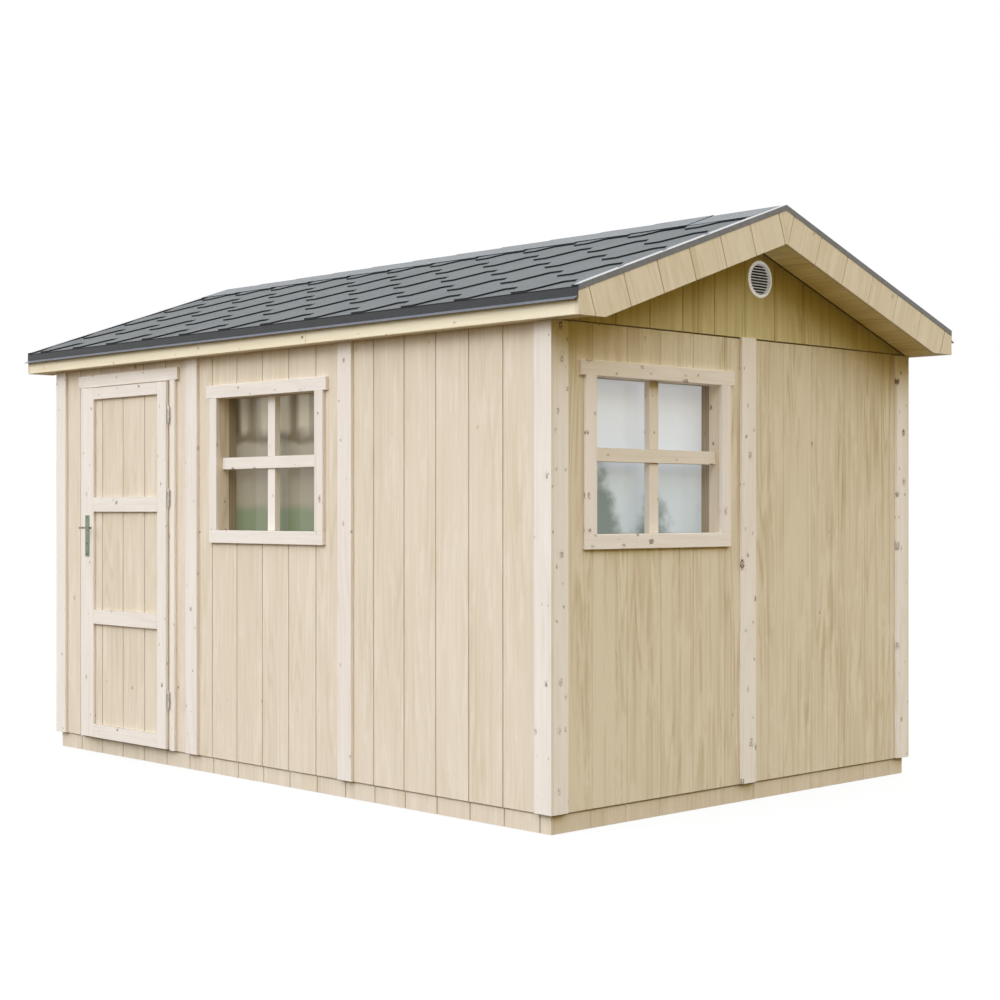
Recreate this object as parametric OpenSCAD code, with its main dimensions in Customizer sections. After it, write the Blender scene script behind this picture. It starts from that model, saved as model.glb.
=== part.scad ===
// Wooden garden shed: a boarded timber frame with a gable roof, a boarded door
// on barrel hinges and two fixed windows. Millimetres, +Z up, the origin on the
// ground under the middle of the base. The door wall faces -Y, and the gable
// with a window faces +X. A size called "out" is measured outward from the
// outer face of the skirt.

/* [Base] */
// Length of the base over its skirt
base_l = 3720; // [3400:10:4200]
// Width of the base over its skirt
base_w = 2360; // [2200:10:2700]
// Height of the skirt boards
skirt_h = 75; // [60:1:85]
// Thickness of the skirt boards
skirt_t = 12; // [9:1:18]
// Thickness of a floor bearer
bearer_t = 45; // [38:1:60]
// Height of a floor bearer
bearer_h = 95; // [92:1:120]
// Number of floor bearers
bearer_count = 5; // [3:2:7]
// Thickness of the floor deck
deck_t = 18; // [15:1:28]

/* [Walls] */
// Height of the wall plates above the ground
wall_h = 2006; // [1985:1:2200]
// Thickness of the siding
siding_t = 12; // [9:1:18]
// How far the siding stands out from the skirt
siding_out = 8; // [5:1:12]
// Open joint between the skirt and the siding
siding_joint = 3; // [2:1:6]
// How far the upper gable panel stands out from the siding under it
gable_lap = 6; // [3:1:9]
// Drop of the gable's level seam below the wall plates
seam_drop = 3; // [2:1:10]
// Width of a stud along its wall
stud_w = 45; // [38:1:60]
// Depth of a stud
stud_d = 45; // [38:1:70]
// Height of the plates under and over the studs
plate_h = 45; // [38:1:60]
// Number of studs in the rear wall
rear_studs = 7; // [4:1:9]
// Number of studs in the closed gable wall
gable_studs = 5; // [3:1:6]

/* [Trim boards] */
// Width of the corner boards and battens
trim_w = 96; // [80:1:110]
// Thickness of the trim boards
trim_t = 16; // [12:1:20]
// Gap between the door's head board and the batten beside it
door_batten_gap = 73.5; // [40:0.5:120]
// Gap between a window's head board and the battens beside it, on the front
front_batten_gap = 82; // [40:1:140]
// Gap between a window's head board and the batten beside it, on the gable
gable_batten_gap = 50; // [20:1:120]

/* [Windows] */
// Width of a window opening
win_w = 764; // [700:1:780]
// Height of a window opening
win_h = 627; // [560:1:640]
// Drop of the opening's upper edge below the eaves
win_drop = 204; // [120:1:300]
// Middle of the gable window from the front edge of the base
gable_win_in = 615; // [560:1:700]
// Width of the casing boards beside a window
win_side_w = 62; // [50:1:70]
// Height of the casing board over a window
win_head_h = 61; // [50:1:70]
// How far that board runs past the side casings
win_head_past = 23; // [10:1:30]
// Height of the casing board under a window
win_sill_h = 60; // [50:1:70]
// Thickness of the boards that line an opening
liner_t = 20; // [16:1:24]
// Depth of the glazing frame behind the liner
glazing_d = 47; // [30:1:55]
// Thickness of the pane
pane_t = 4; // [3:1:6]
// Depth of the rebate that the pane's edge sits in
pane_rebate = 8; // [5:1:12]

/* [Door] */
// Middle of the doorway from the left end of the base
door_in = 675; // [620:1:760]
// Drop of the door's head board below the eaves
door_drop = 35; // [10:1:80]
// Width of the door leaf
leaf_w = 787; // [740:1:800]
// Height of the leaf's lower edge above the siding's lower edge
leaf_lift = 6; // [5:1:12]
// Running gap round the leaf
leaf_gap = 5; // [5:0.5:8]
// How far the leaf laps the jambs behind it
leaf_lap = 25; // [15:1:30]
// Thickness of the leaf's boarded panel
panel_t = 13; // [10:1:16]
// Thickness of the stiles and rails on the panel
rail_t = 15; // [12:1:18]
// Width of the stile on the lock side
lock_stile_w = 105; // [95:1:120]
// Width of the stile on the hinge side
hinge_stile_w = 79; // [70:1:100]
// Height of the top rail
top_rail_h = 61; // [50:1:80]
// Height of the two middle rails
mid_rail_h = 75; // [60:1:90]
// Height of the bottom rail
bottom_rail_h = 68; // [50:1:90]
// Height of the leaf's top field
top_field_h = 506; // [420:1:580]
// Height of the leaf's bottom field
bottom_field_h = 518; // [420:1:580]
// Width of the casing boards beside the doorway
door_side_w = 45; // [38:1:55]
// Height of the board over the doorway
door_head_h = 62; // [50:1:70]
// How far that board runs past the side casings
door_head_past = 23; // [10:1:30]
// Thickness of the jambs that line the doorway
jamb_t = 22; // [16:1:28]

/* [Hinges] */
// Radius of a hinge barrel
barrel_r = 5; // [4.5:0.5:7.5]
// Length of a hinge, both halves
barrel_l = 85; // [60:1:110]
// Radius of the hinge pin
pin_r = 3; // [2.5:0.25:3.5]
// Running clearance round a pin
pin_clear = 0.05; // [0.03:0.01:0.1]
// Radius of the stud that fixes a barrel
hinge_stud_r = 3; // [2.5:0.25:3.5]
// Place of the hinge line beyond the leaf's edge
hinge_past = 12.5; // [12:0.5:15]
// Middle of the lowest hinge above the leaf's lower edge
low_hinge_up = 243; // [180:1:320]
// Middle of the middle hinge below the leaf's upper edge
mid_hinge_down = 573; // [450:1:700]
// Middle of the top hinge below the leaf's upper edge
top_hinge_down = 165; // [120:1:220]

/* [Lock] */
// Width of the lock plate outside
lock_plate_w = 38; // [34:1:50]
// Width of the lock plate inside
inner_plate_w = 30; // [26:1:34]
// Height of both lock plates
lock_plate_h = 212; // [180:1:240]
// Thickness of the lock plates
lock_plate_t = 3; // [2:0.5:4]
// Distance of the spindle from the leaf's lock edge
lock_backset = 48; // [44:1:55]
// Height of the spindle above the leaf's lower edge
spindle_up = 1083; // [1040:1:1120]
// Distance of the spindle below the top of the plates
spindle_down = 65; // [50:1:80]
// Radius of the spindle
spindle_r = 4; // [3.5:0.25:5]
// Radius of the lever's neck and grip
lever_r = 5.5; // [5:0.5:9]
// Distance of the grip's axis from the lock plate
lever_reach = 44; // [36:1:46]
// Length of the grip from the spindle to its bend
lever_l = 94; // [85:1:120]
// Length of the grip's bent end
lever_return = 12; // [8:1:26]

/* [Roof] */
// Slope of the roof in degrees
roof_pitch = 19.52; // [18:0.1:22]
// How far the eave fascia's face stands out from the skirt
eave_out = 79; // [65:1:100]
// How far the barge board's face stands out from the skirt
gable_out = 226; // [150:1:280]
// Height of the fascia's face
fascia_h = 90; // [85:1:110]
// Thickness of the fascia
fascia_t = 18; // [15:1:22]
// Thickness of the soffit boards
soffit_t = 12; // [9:1:16]
// Width of the level soffit inside the siding's face, at the gable ends
soffit_return = 20; // [14:1:30]
// Depth of the barge boards, measured plumb
barge_d = 142; // [132:1:160]
// Thickness of the barge boards
barge_t = 18; // [15:1:22]
// Number of pairs of rafters
rafter_pairs = 7; // [4:1:9]
// Thickness of a rafter
rafter_t = 45; // [38:1:60]
// Thickness of the ridge beam
ridge_t = 27; // [20:1:40]
// Height of the ridge beam
ridge_h = 150; // [130:1:170]
// Thickness of the roof deck, measured plumb
roof_deck_t = 12; // [10:1:22]
// Thickness of the shingle layer, measured plumb
shingle_t = 8; // [6:1:12]
// Width of the ridge cap on each slope
cap_w = 190; // [120:1:220]
// Thickness of the ridge cap
cap_t = 7; // [3:0.5:8]
// Thickness of the metal edge trims
metal_t = 1.5; // [1:0.25:2.5]
// Height of the trim on the gable edges
rake_h = 24; // [22:1:36]
// Width of that trim's flange over the shingles
rake_flange = 40; // [15:1:60]
// Gap between that flange and the shingles
rake_up = 2; // [0.5:0.5:5]
// Height of the drip edge at the eaves
drip_h = 34; // [26:1:45]
// How far the drip edge's lip stands out
lip_out = 22; // [20:1:25]
// Drop of that lip
lip_down = 12; // [8:1:16]

/* [Gable vent] */
// Outer radius of the vent
vent_r = 80.5; // [70:0.5:90]
// Width of the vent's flange
vent_flange = 10; // [8:0.5:18]
// Thickness of the vent's flange
vent_flange_t = 5; // [3:0.5:7]
// Wall of the vent's collar
vent_collar_t = 2; // [1.5:0.5:4]
// Clearance between the collar and its hole
vent_clear = 0.3; // [0.2:0.1:1]
// Number of slats
vent_slats = 11; // [7:1:13]
// Thickness of a slat
vent_slat_t = 2; // [1.5:0.25:3]
// Place of the vent along the gable
vent_y = 84; // [-40:1:120]
// Drop of the vent's middle below the underside of the ridge
vent_down = 266.3; // [240:0.1:300]

/* [Hidden] */
$fn = 48;
// Gap that keeps neighbouring boards of one set apart
joint = 1;
// Gap that keeps a sloping sheet from cutting into the one below
sheet_gap = 0.2;
hx = base_l / 2;
hy = base_w / 2;
slope = tan(roof_pitch);

deck_top = bearer_h + deck_t;
siding_z = skirt_h + siding_joint;
siding_in = siding_out - siding_t;
stud_in = siding_in - stud_d;
trim_out = siding_out + trim_t;
seam_z = wall_h - seam_drop;
eave_z = wall_h - soffit_t;
gable_face = siding_out + gable_lap;
gable_back = gable_face - siding_t;

// Heights of the roof, at the ridge: underside and top of the deck
eave_y = hy + eave_out;
roof_x = hx + gable_out;
under_z = eave_z + fascia_h + slope * eave_y;
deck_z = under_z + roof_deck_t;
shingle_z = deck_z + shingle_t;
barge_in = gable_out - barge_t;
fascia_in = eave_out - fascia_t;

// Door leaf and doorway
door_x = -hx + door_in;
leaf_x0 = door_x - leaf_w / 2;
leaf_x1 = door_x + leaf_w / 2;
casing_top = eave_z - door_drop - door_head_h;
leaf_z0 = siding_z + leaf_lift;
leaf_z1 = casing_top - leaf_gap;
leaf_back = siding_out + leaf_gap;
panel_out = leaf_back + panel_t;
leaf_out = panel_out + rail_t;
door_clear = leaf_w / 2 - leaf_lap;
door_rough = door_clear + jamb_t;
door_top = leaf_z1 - leaf_lap;
door_rough_top = door_top + jamb_t;
side_casing_x = leaf_w / 2 + leaf_gap;
door_head_reach = side_casing_x + door_side_w + door_head_past;

// Hinge line and lever spindle
hinge_x = leaf_x1 + hinge_past;
hinge_out = trim_out + barrel_r + 4;
hinge_heights = [
    leaf_z0 + low_hinge_up,
    leaf_z1 - mid_hinge_down,
    leaf_z1 - top_hinge_down
];
hinge_play = 0.3;
spindle_x = leaf_x0 + lock_backset;
spindle_z = leaf_z0 + spindle_up;
plate_face = leaf_out + lock_plate_t;
inner_face = leaf_back - lock_plate_t;
lever_play = 0.3;

// Window opening, lining and glazing
win_top = eave_z - win_drop;
win_z = win_top - win_h;
lined_w = win_w + 2 * liner_t;
glass_in = stud_in - glazing_d;
win_head_reach = win_w / 2 + win_side_w + win_head_past;

// The front wall in order from its left end: door, batten, window, batten
front_batten_x = door_x + door_head_reach + door_batten_gap + trim_w / 2;
front_win_x = front_batten_x + trim_w / 2 + front_batten_gap + win_head_reach;
gable_win_y = -hy + gable_win_in;
gable_batten_y = gable_win_y + win_head_reach + gable_batten_gap + trim_w / 2;

vent_z = under_z - vent_down;
vent_hole_r = vent_r - vent_flange;

siding_tan = [0.89, 0.83, 0.73];
trim_white = [0.92, 0.89, 0.85];
bare_wood = [0.78, 0.66, 0.48];
shingle_grey = [0.44, 0.47, 0.5];
metal_grey = [0.36, 0.39, 0.43];
steel_dark = [0.2, 0.2, 0.21];
glass_blue = [0.6, 0.7, 0.75, 0.5];

// A board on the front wall, from one "out" to another
module front_board(x0, x1, out0, out1, z0, z1)
    translate([x0, -hy - out1, z0]) cube([x1 - x0, out1 - out0, z1 - z0]);

// A board on the gable wall at +X
module gable_board(y0, y1, out0, out1, z0, z1)
    translate([hx + out0, y0, z0]) cube([out1 - out0, y1 - y0, z1 - z0]);

// The same thing on the front and the rear, or on both gables
module front_and_rear() {
    children();
    mirror([0, 1, 0]) children();
}
module both_gables() {
    children();
    mirror([1, 0, 0]) children();
}

// A section given in Y and Z, run along X
module along_x(x0, x1)
    translate([x0, 0, 0]) rotate([90, 0, 90]) linear_extrude(x1 - x0) children();

// One half of a roof layer: between two plumb lines, with plumb thickness
module slope_section(y0, y1, z_low, z_high)
    polygon([
        [y0, z_low - slope * y0], [y1, z_low - slope * y1],
        [y1, z_high - slope * y1], [y0, z_high - slope * y0]
    ]);

// Places a child that is drawn round a window's centre line, facing -Y
module at_windows() {
    translate([front_win_x, -hy, 0]) children();
    translate([hx, gable_win_y, 0]) rotate([0, 0, 90]) children();
}

// A board of a window, from one "out" to another, centred on x
module window_board(x0, x1, out0, out1, z0, z1)
    translate([x0, -out1, z0]) cube([x1 - x0, out1 - out0, z1 - z0]);

module window_hole(grow, out0, out1)
    window_board(-win_w / 2 - grow, win_w / 2 + grow, out0, out1, win_z - grow, win_top + grow);

module floor_bearers() {
    span = base_w - 2 * skirt_t - bearer_t;
    color(bare_wood)
        for (i = [0 : bearer_count - 1])
            translate([-hx + skirt_t, -span / 2 - bearer_t / 2 + i * span / (bearer_count - 1), 0])
                cube([base_l - 2 * skirt_t, bearer_t, bearer_h]);
}

module floor_deck()
    color(bare_wood)
        translate([-hx - siding_in, -hy - siding_in, bearer_h])
            cube([base_l + 2 * siding_in, base_w + 2 * siding_in, deck_t]);

module base_skirts()
    color(siding_tan) {
        front_and_rear() front_board(-hx, hx, -skirt_t, 0, 0, skirt_h);
        both_gables()
            gable_board(-hy + skirt_t + joint, hy - skirt_t - joint, -skirt_t, 0, 0, skirt_h);
    }

module front_siding(x0, x1, z0, z1)
    front_board(x0, x1, siding_in, siding_out, z0, z1);

module front_wall_left()
    color(siding_tan)
        front_siding(-hx - siding_out, door_x - door_rough, siding_z, wall_h);

module front_wall_over_door()
    color(siding_tan)
        front_siding(door_x - door_rough, door_x + door_rough, door_rough_top, wall_h);

module front_wall_right()
    color(siding_tan)
        difference() {
            front_siding(door_x + door_rough, hx + siding_out, siding_z, wall_h);
            at_windows() window_hole(liner_t, siding_in - joint, siding_out + joint);
        }

module door_threshold()
    color(siding_tan)
        front_siding(door_x - door_rough, door_x + door_rough, siding_z, deck_top);

module rear_wall()
    color(siding_tan)
        mirror([0, 1, 0]) front_siding(-hx - siding_out, hx + siding_out, siding_z, wall_h);

module gable_siding()
    gable_board(-hy - siding_in, hy + siding_in, siding_in, siding_out, siding_z, seam_z);

module left_wall()
    color(siding_tan) mirror([1, 0, 0]) gable_siding();

module right_wall()
    color(siding_tan)
        difference() {
            gable_siding();
            at_windows() window_hole(liner_t, siding_in - joint, siding_out + joint);
        }

module gable_tops() {
    edge = hy + siding_in;
    color(siding_tan)
        both_gables()
            difference() {
                along_x(hx + gable_back, hx + gable_face)
                    polygon([
                        [-edge, seam_z], [edge, seam_z], [edge, under_z - slope * edge],
                        [0, under_z], [-edge, under_z - slope * edge]
                    ]);
                translate([hx + gable_back - joint, vent_y, vent_z])
                    rotate([0, 90, 0]) cylinder(r = vent_hole_r, h = siding_t + 2 * joint);
            }
}

module wall_plates() {
    front_x = hx + siding_in;
    gable_y = hy + stud_in - joint;
    color(bare_wood) {
        for (z = [deck_top, wall_h - plate_h])
            both_gables() gable_board(-gable_y, gable_y, stud_in, siding_in, z, z + plate_h);
        mirror([0, 1, 0])
            for (z = [deck_top, wall_h - plate_h])
                front_board(-front_x, front_x, stud_in, siding_in, z, z + plate_h);
        front_board(-front_x, front_x, stud_in, siding_in, wall_h - plate_h, wall_h);
        front_board(-front_x, door_x - door_rough, stud_in, siding_in, deck_top, deck_top + plate_h);
        front_board(door_x + door_rough, front_x, stud_in, siding_in, deck_top, deck_top + plate_h);
    }
}

module wall_studs() {
    z0 = deck_top + plate_h;
    z1 = wall_h - plate_h;
    half = stud_w / 2;
    corner_x = hx + siding_in - half;
    corner_y = hy + stud_in - joint - half;
    beside_window = lined_w / 2 + half;
    right_of_window = front_win_x + beside_window;
    left_of_gap = gable_win_y + beside_window;
    front_places = [
        -corner_x, door_x - door_rough - half, door_x + door_rough + half,
        front_win_x - beside_window, right_of_window, (right_of_window + corner_x) / 2, corner_x
    ];
    right_places = [
        -corner_y, gable_win_y - beside_window, left_of_gap, (left_of_gap + corner_y) / 2, corner_y
    ];
    color(bare_wood) {
        for (x = front_places) front_board(x - half, x + half, stud_in, siding_in, z0, z1);
        mirror([0, 1, 0])
            for (i = [0 : rear_studs - 1]) {
                x = -corner_x + 2 * corner_x * i / (rear_studs - 1);
                front_board(x - half, x + half, stud_in, siding_in, z0, z1);
            }
        for (y = right_places) gable_board(y - half, y + half, stud_in, siding_in, z0, z1);
        mirror([1, 0, 0])
            for (i = [0 : gable_studs - 1]) {
                y = -corner_y + 2 * corner_y * i / (gable_studs - 1);
                gable_board(y - half, y + half, stud_in, siding_in, z0, z1);
            }
    }
}

// Corner boards and battens of a long wall
module long_wall_trim()
    for (x = [-hx - trim_out + trim_w / 2, front_batten_x, 2 * front_win_x - front_batten_x,
              hx + trim_out - trim_w / 2])
        front_board(x - trim_w / 2, x + trim_w / 2, siding_out, trim_out, siding_z, eave_z);

// Corner boards and batten of a gable wall, behind the long walls' boards
module gable_trim() {
    edge = hy + siding_out;
    width = trim_w - trim_t;
    for (y = [-edge, edge - width])
        gable_board(y, y + width, siding_out, trim_out, siding_z, eave_z);
    gable_board(
        gable_batten_y - trim_w / 2, gable_batten_y + trim_w / 2,
        siding_out, trim_out, siding_z, seam_z
    );
}

module front_trim() color(trim_white) long_wall_trim();
module rear_trim() color(trim_white) mirror([0, 1, 0]) long_wall_trim();
module left_trim() color(trim_white) mirror([1, 0, 0]) gable_trim();
module right_trim() color(trim_white) gable_trim();

module window_heads()
    color(trim_white)
        at_windows()
            window_board(
                -win_head_reach, win_head_reach, siding_out, trim_out, win_top, win_top + win_head_h
            );

module window_sides()
    color(trim_white)
        at_windows()
            for (x = [-win_w / 2 - win_side_w, win_w / 2])
                window_board(x, x + win_side_w, siding_out, trim_out, win_z, win_top);

module window_sills() {
    reach = win_w / 2 + win_side_w;
    color(trim_white)
        at_windows() window_board(-reach, reach, siding_out, trim_out, win_z - win_sill_h, win_z);
}

module window_liners()
    color(trim_white)
        at_windows()
            difference() {
                window_hole(liner_t, stud_in, siding_out);
                window_hole(0, stud_in - joint, siding_out + joint);
            }

module window_frames()
    color(bare_wood)
        at_windows()
            difference() {
                window_hole(liner_t, glass_in, stud_in);
                window_hole(0, glass_in - joint, stud_in + joint);
                window_hole(pane_rebate, glass_in - joint, glass_in + pane_t);
            }

module window_panes()
    color(glass_blue)
        at_windows() window_hole(pane_rebate, glass_in, glass_in + pane_t);

module door_jambs()
    color(trim_white) {
        for (x = [door_x - door_rough, door_x + door_clear])
            front_board(x, x + jamb_t, stud_in, siding_out, deck_top, door_rough_top);
        front_board(
            door_x - door_clear + joint, door_x + door_clear - joint,
            stud_in, siding_out, door_top, door_rough_top
        );
    }

module door_casings()
    color(trim_white)
        for (x = [door_x - side_casing_x - door_side_w, door_x + side_casing_x])
            front_board(x, x + door_side_w, siding_out, trim_out, siding_z, casing_top);

module door_head_board()
    color(trim_white)
        front_board(
            door_x - door_head_reach, door_x + door_head_reach,
            siding_out, trim_out, casing_top, casing_top + door_head_h
        );

// The spindle's loose hole through the leaf
module spindle_hole()
    translate([spindle_x, -hy - leaf_out - joint, spindle_z])
        rotate([-90, 0, 0]) cylinder(r = 2 * spindle_r, h = rail_t + panel_t + 2 * joint);

module door_panel()
    color(siding_tan)
        difference() {
            front_board(leaf_x0, leaf_x1, leaf_back, panel_out, leaf_z0, leaf_z1);
            spindle_hole();
        }

module door_stiles()
    color(trim_white) {
        difference() {
            front_board(leaf_x0, leaf_x0 + lock_stile_w, panel_out, leaf_out, leaf_z0, leaf_z1);
            spindle_hole();
        }
        front_board(leaf_x1 - hinge_stile_w, leaf_x1, panel_out, leaf_out, leaf_z0, leaf_z1);
    }

module door_rails() {
    module rail(z0, h)
        front_board(
            leaf_x0 + lock_stile_w, leaf_x1 - hinge_stile_w, panel_out, leaf_out, z0, z0 + h
        );
    color(trim_white) {
        rail(leaf_z0, bottom_rail_h);
        rail(leaf_z0 + bottom_rail_h + bottom_field_h, mid_rail_h);
        rail(leaf_z1 - top_rail_h - top_field_h - mid_rail_h, mid_rail_h);
        rail(leaf_z1 - top_rail_h, top_rail_h);
    }
}

// Lower halves of the hinges: a barrel with the pin, on a stud in the casing
module hinge_pins()
    color(steel_dark)
        for (z = hinge_heights)
            translate([hinge_x, -hy - hinge_out, z]) {
                translate([0, 0, -barrel_l / 2]) cylinder(r = barrel_r, h = barrel_l / 2);
                cylinder(r = pin_r, h = barrel_l / 2 - 2 * joint);
                translate([0, 0, -barrel_l / 4])
                    rotate([-90, 0, 0]) cylinder(r = hinge_stud_r, h = hinge_out - trim_out);
            }

// Upper halves of the hinges: a bored barrel on a stud in the leaf's edge
module hinge_barrels()
    color(steel_dark)
        for (z = hinge_heights)
            translate([hinge_x, -hy - hinge_out, z])
                difference() {
                    union() {
                        translate([0, 0, hinge_play]) cylinder(r = barrel_r, h = barrel_l / 2 - hinge_play);
                        translate([0, 0, barrel_l / 4])
                            rotate([0, -90, 0]) cylinder(r = hinge_stud_r, h = hinge_past);
                    }
                    cylinder(r = pin_r + pin_clear, h = barrel_l / 2 - joint);
                }

// Plates on both faces of the lock stile, bored for the spindle
module lock_plates() {
    z0 = spindle_z + spindle_down - lock_plate_h;
    module plate(width, out0, out1)
        difference() {
            front_board(
                spindle_x - width / 2, spindle_x + width / 2, out0, out1, z0, z0 + lock_plate_h
            );
            translate([spindle_x, -hy - out1 - joint, spindle_z])
                rotate([-90, 0, 0])
                    cylinder(r = spindle_r + pin_clear, h = out1 - out0 + 2 * joint);
        }
    color(steel_dark) {
        plate(lock_plate_w, leaf_out, plate_face);
        plate(inner_plate_w, inner_face, leaf_back);
    }
}

// Both levers on their spindle: a neck, a level grip and a bent end on each side
module door_lever() {
    module grip(from_out, side)
        translate([spindle_x, -hy - from_out, spindle_z])
            rotate([side * 90, 0, 0]) {
                translate([0, 0, lever_play]) cylinder(r = lever_r, h = lever_reach - lever_play);
                translate([0, 0, lever_reach]) sphere(r = lever_r);
                translate([0, 0, lever_reach]) rotate([0, 90, 0]) cylinder(r = lever_r, h = lever_l);
                translate([lever_l, 0, lever_reach]) sphere(r = lever_r);
                translate([lever_l, 0, lever_reach - lever_return])
                    cylinder(r = lever_r, h = lever_return);
            }
    color(steel_dark) {
        grip(plate_face, 1);
        grip(inner_face, -1);
        translate([spindle_x, -hy - plate_face - lever_r, spindle_z])
            rotate([-90, 0, 0]) cylinder(r = spindle_r, h = plate_face - inner_face + 2 * lever_r);
    }
}

// A board between the rafters, its flat top just clear of the deck
module ridge_beam() {
    half = ridge_t / 2;
    color(bare_wood)
        along_x(-hx - gable_back, hx + gable_back)
            translate([-half, under_z - ridge_h]) square([ridge_t, ridge_h - slope * half - joint]);
}

// Rafters seated level on the plates and run out to the fascia
module rafters() {
    plate_y = hy + stud_in;
    low_z = wall_h + slope * plate_y;
    tail_y = hy + fascia_in;
    half = ridge_t / 2;
    reach = hx + gable_back - rafter_t / 2;
    color(bare_wood)
        front_and_rear()
            for (i = [0 : rafter_pairs - 1]) {
                x = -reach + 2 * reach * i / (rafter_pairs - 1);
                along_x(x - rafter_t / 2, x + rafter_t / 2)
                    polygon([
                        [half, low_z - slope * half], [plate_y, wall_h], [tail_y, wall_h],
                        [tail_y, under_z - slope * tail_y], [half, under_z - slope * half]
                    ]);
            }
}

module roof_deck()
    color(bare_wood)
        front_and_rear()
            along_x(-roof_x, roof_x) slope_section(joint / 2, eave_y, under_z, deck_z);

module eave_fascias()
    color(trim_white)
        front_and_rear()
            along_x(-hx - barge_in, hx + barge_in)
                polygon([
                    [hy + fascia_in, eave_z], [eave_y, eave_z], [eave_y, under_z - slope * eave_y],
                    [hy + fascia_in, under_z - slope * (hy + fascia_in)]
                ]);

// Barge boards with a plumb cut at the ridge and the eave and a level foot
module barge_boards() {
    low_z = under_z - barge_d;
    foot_y = (low_z - eave_z) / slope;
    color(siding_tan)
        both_gables()
            front_and_rear()
                along_x(hx + barge_in, roof_x)
                    polygon([
                        [joint / 2, low_z - slope * joint / 2], [foot_y, eave_z], [eave_y, eave_z],
                        [eave_y, under_z - slope * eave_y], [joint / 2, under_z - slope * joint / 2]
                    ]);
}

// Soffits under the gable overhang, turned level where they meet the eaves
module gable_soffits() {
    edge = hy + siding_out;
    turn = edge - soffit_return;
    low_z = eave_z + slope * turn;
    color(siding_tan)
        both_gables()
            front_and_rear()
                along_x(hx + gable_face, hx + barge_in)
                    polygon([
                        [joint / 2, low_z - slope * joint / 2], [turn, eave_z], [edge, eave_z],
                        [edge, wall_h], [turn, wall_h],
                        [joint / 2, low_z + soffit_t - slope * joint / 2]
                    ]);
}

module eave_soffits()
    color(siding_tan)
        front_and_rear()
            along_x(-hx - barge_in, hx + barge_in)
                translate([hy + siding_out, eave_z]) square([fascia_in - siding_out, soffit_t]);

module roof_shingles()
    color(shingle_grey)
        front_and_rear()
            along_x(-roof_x, roof_x) slope_section(joint / 2, eave_y, deck_z, shingle_z);

module ridge_cap() {
    end = cap_w * cos(roof_pitch);
    reach = roof_x - rake_flange;
    low = shingle_z + sheet_gap;
    color(shingle_grey)
        along_x(-reach, reach)
            polygon([
                [0, low], [end, low - slope * end], [end, low + cap_t - slope * end],
                [0, low + cap_t], [-end, low + cap_t - slope * end], [-end, low - slope * end]
            ]);
}

// Folded drip edges: a plumb leg on the fascia and deck edge, with a kicked-out lip
module eave_drip_edges() {
    top = deck_z - slope * eave_y;
    turn = top - drip_h;
    color(metal_grey)
        front_and_rear()
            along_x(-roof_x, roof_x)
                polygon([
                    [eave_y, turn], [eave_y + lip_out, turn - lip_down],
                    [eave_y + lip_out, turn - lip_down + metal_t], [eave_y + metal_t, turn + metal_t],
                    [eave_y + metal_t, top], [eave_y, top]
                ]);
}

// Angle trims on the gable edges: a leg over the barge board and a flange over the shingles
module rake_trims() {
    under = shingle_z + rake_up;
    top = under + metal_t;
    color(metal_grey)
        both_gables()
            front_and_rear() {
                along_x(roof_x, roof_x + metal_t) slope_section(joint / 2, eave_y, top - rake_h, top);
                along_x(roof_x - rake_flange, roof_x + metal_t)
                    slope_section(joint / 2, eave_y, under, top);
            }
}

// Round vents: a flange on the panel, a collar in its hole and slanted slats
module gable_vents() {
    collar_r = vent_hole_r - vent_clear;
    slat_pitch = 2 * (collar_r - vent_collar_t) / vent_slats;
    slat_rise = slat_pitch * 0.5;
    slat_run = siding_t * 0.7;
    color(trim_white)
        both_gables()
            translate([hx + gable_face, vent_y, vent_z])
                rotate([0, 90, 0]) {
                    rotate_extrude()
                        polygon([
                            [collar_r - vent_collar_t, -siding_t], [collar_r, -siding_t], [collar_r, 0],
                            [vent_r, 0], [vent_r, vent_flange_t / 2],
                            [vent_r - vent_flange_t / 2, vent_flange_t],
                            [collar_r - vent_collar_t, vent_flange_t]
                        ]);
                    intersection() {
                        translate([0, 0, -siding_t]) cylinder(r = collar_r - joint, h = 2 * siding_t);
                        for (i = [0 : vent_slats - 1])
                            translate([(i + 0.5 - vent_slats / 2) * slat_pitch, 0, 0])
                                rotate([90, 0, 0])
                                    linear_extrude(2 * vent_r, center = true)
                                        polygon([
                                            [-slat_rise / 2, -slat_run], [slat_rise / 2, 0],
                                            [slat_rise / 2, vent_slat_t],
                                            [-slat_rise / 2, vent_slat_t - slat_run]
                                        ]);
                    }
                }
}

floor_bearers();
floor_deck();
base_skirts();
front_wall_left();
front_wall_over_door();
front_wall_right();
door_threshold();
rear_wall();
left_wall();
right_wall();
gable_tops();
wall_plates();
wall_studs();
front_trim();
rear_trim();
left_trim();
right_trim();
window_heads();
window_sides();
window_sills();
window_liners();
window_frames();
window_panes();
door_jambs();
door_casings();
door_head_board();
door_panel();
door_stiles();
door_rails();
hinge_pins();
hinge_barrels();
lock_plates();
door_lever();
ridge_beam();
rafters();
roof_deck();
eave_fascias();
barge_boards();
gable_soffits();
eave_soffits();
roof_shingles();
ridge_cap();
eave_drip_edges();
rake_trims();
gable_vents();
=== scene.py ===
# A wooden garden shed: grooved siding and whitewashed trim on a timber frame, a boarded door, two
# fixed windows and a gable roof with bitumen shingles. Metres, +Z up, the door wall facing -Y.

import itertools
import math

import bmesh
import bpy
from mathutils import Matrix, Vector


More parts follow.
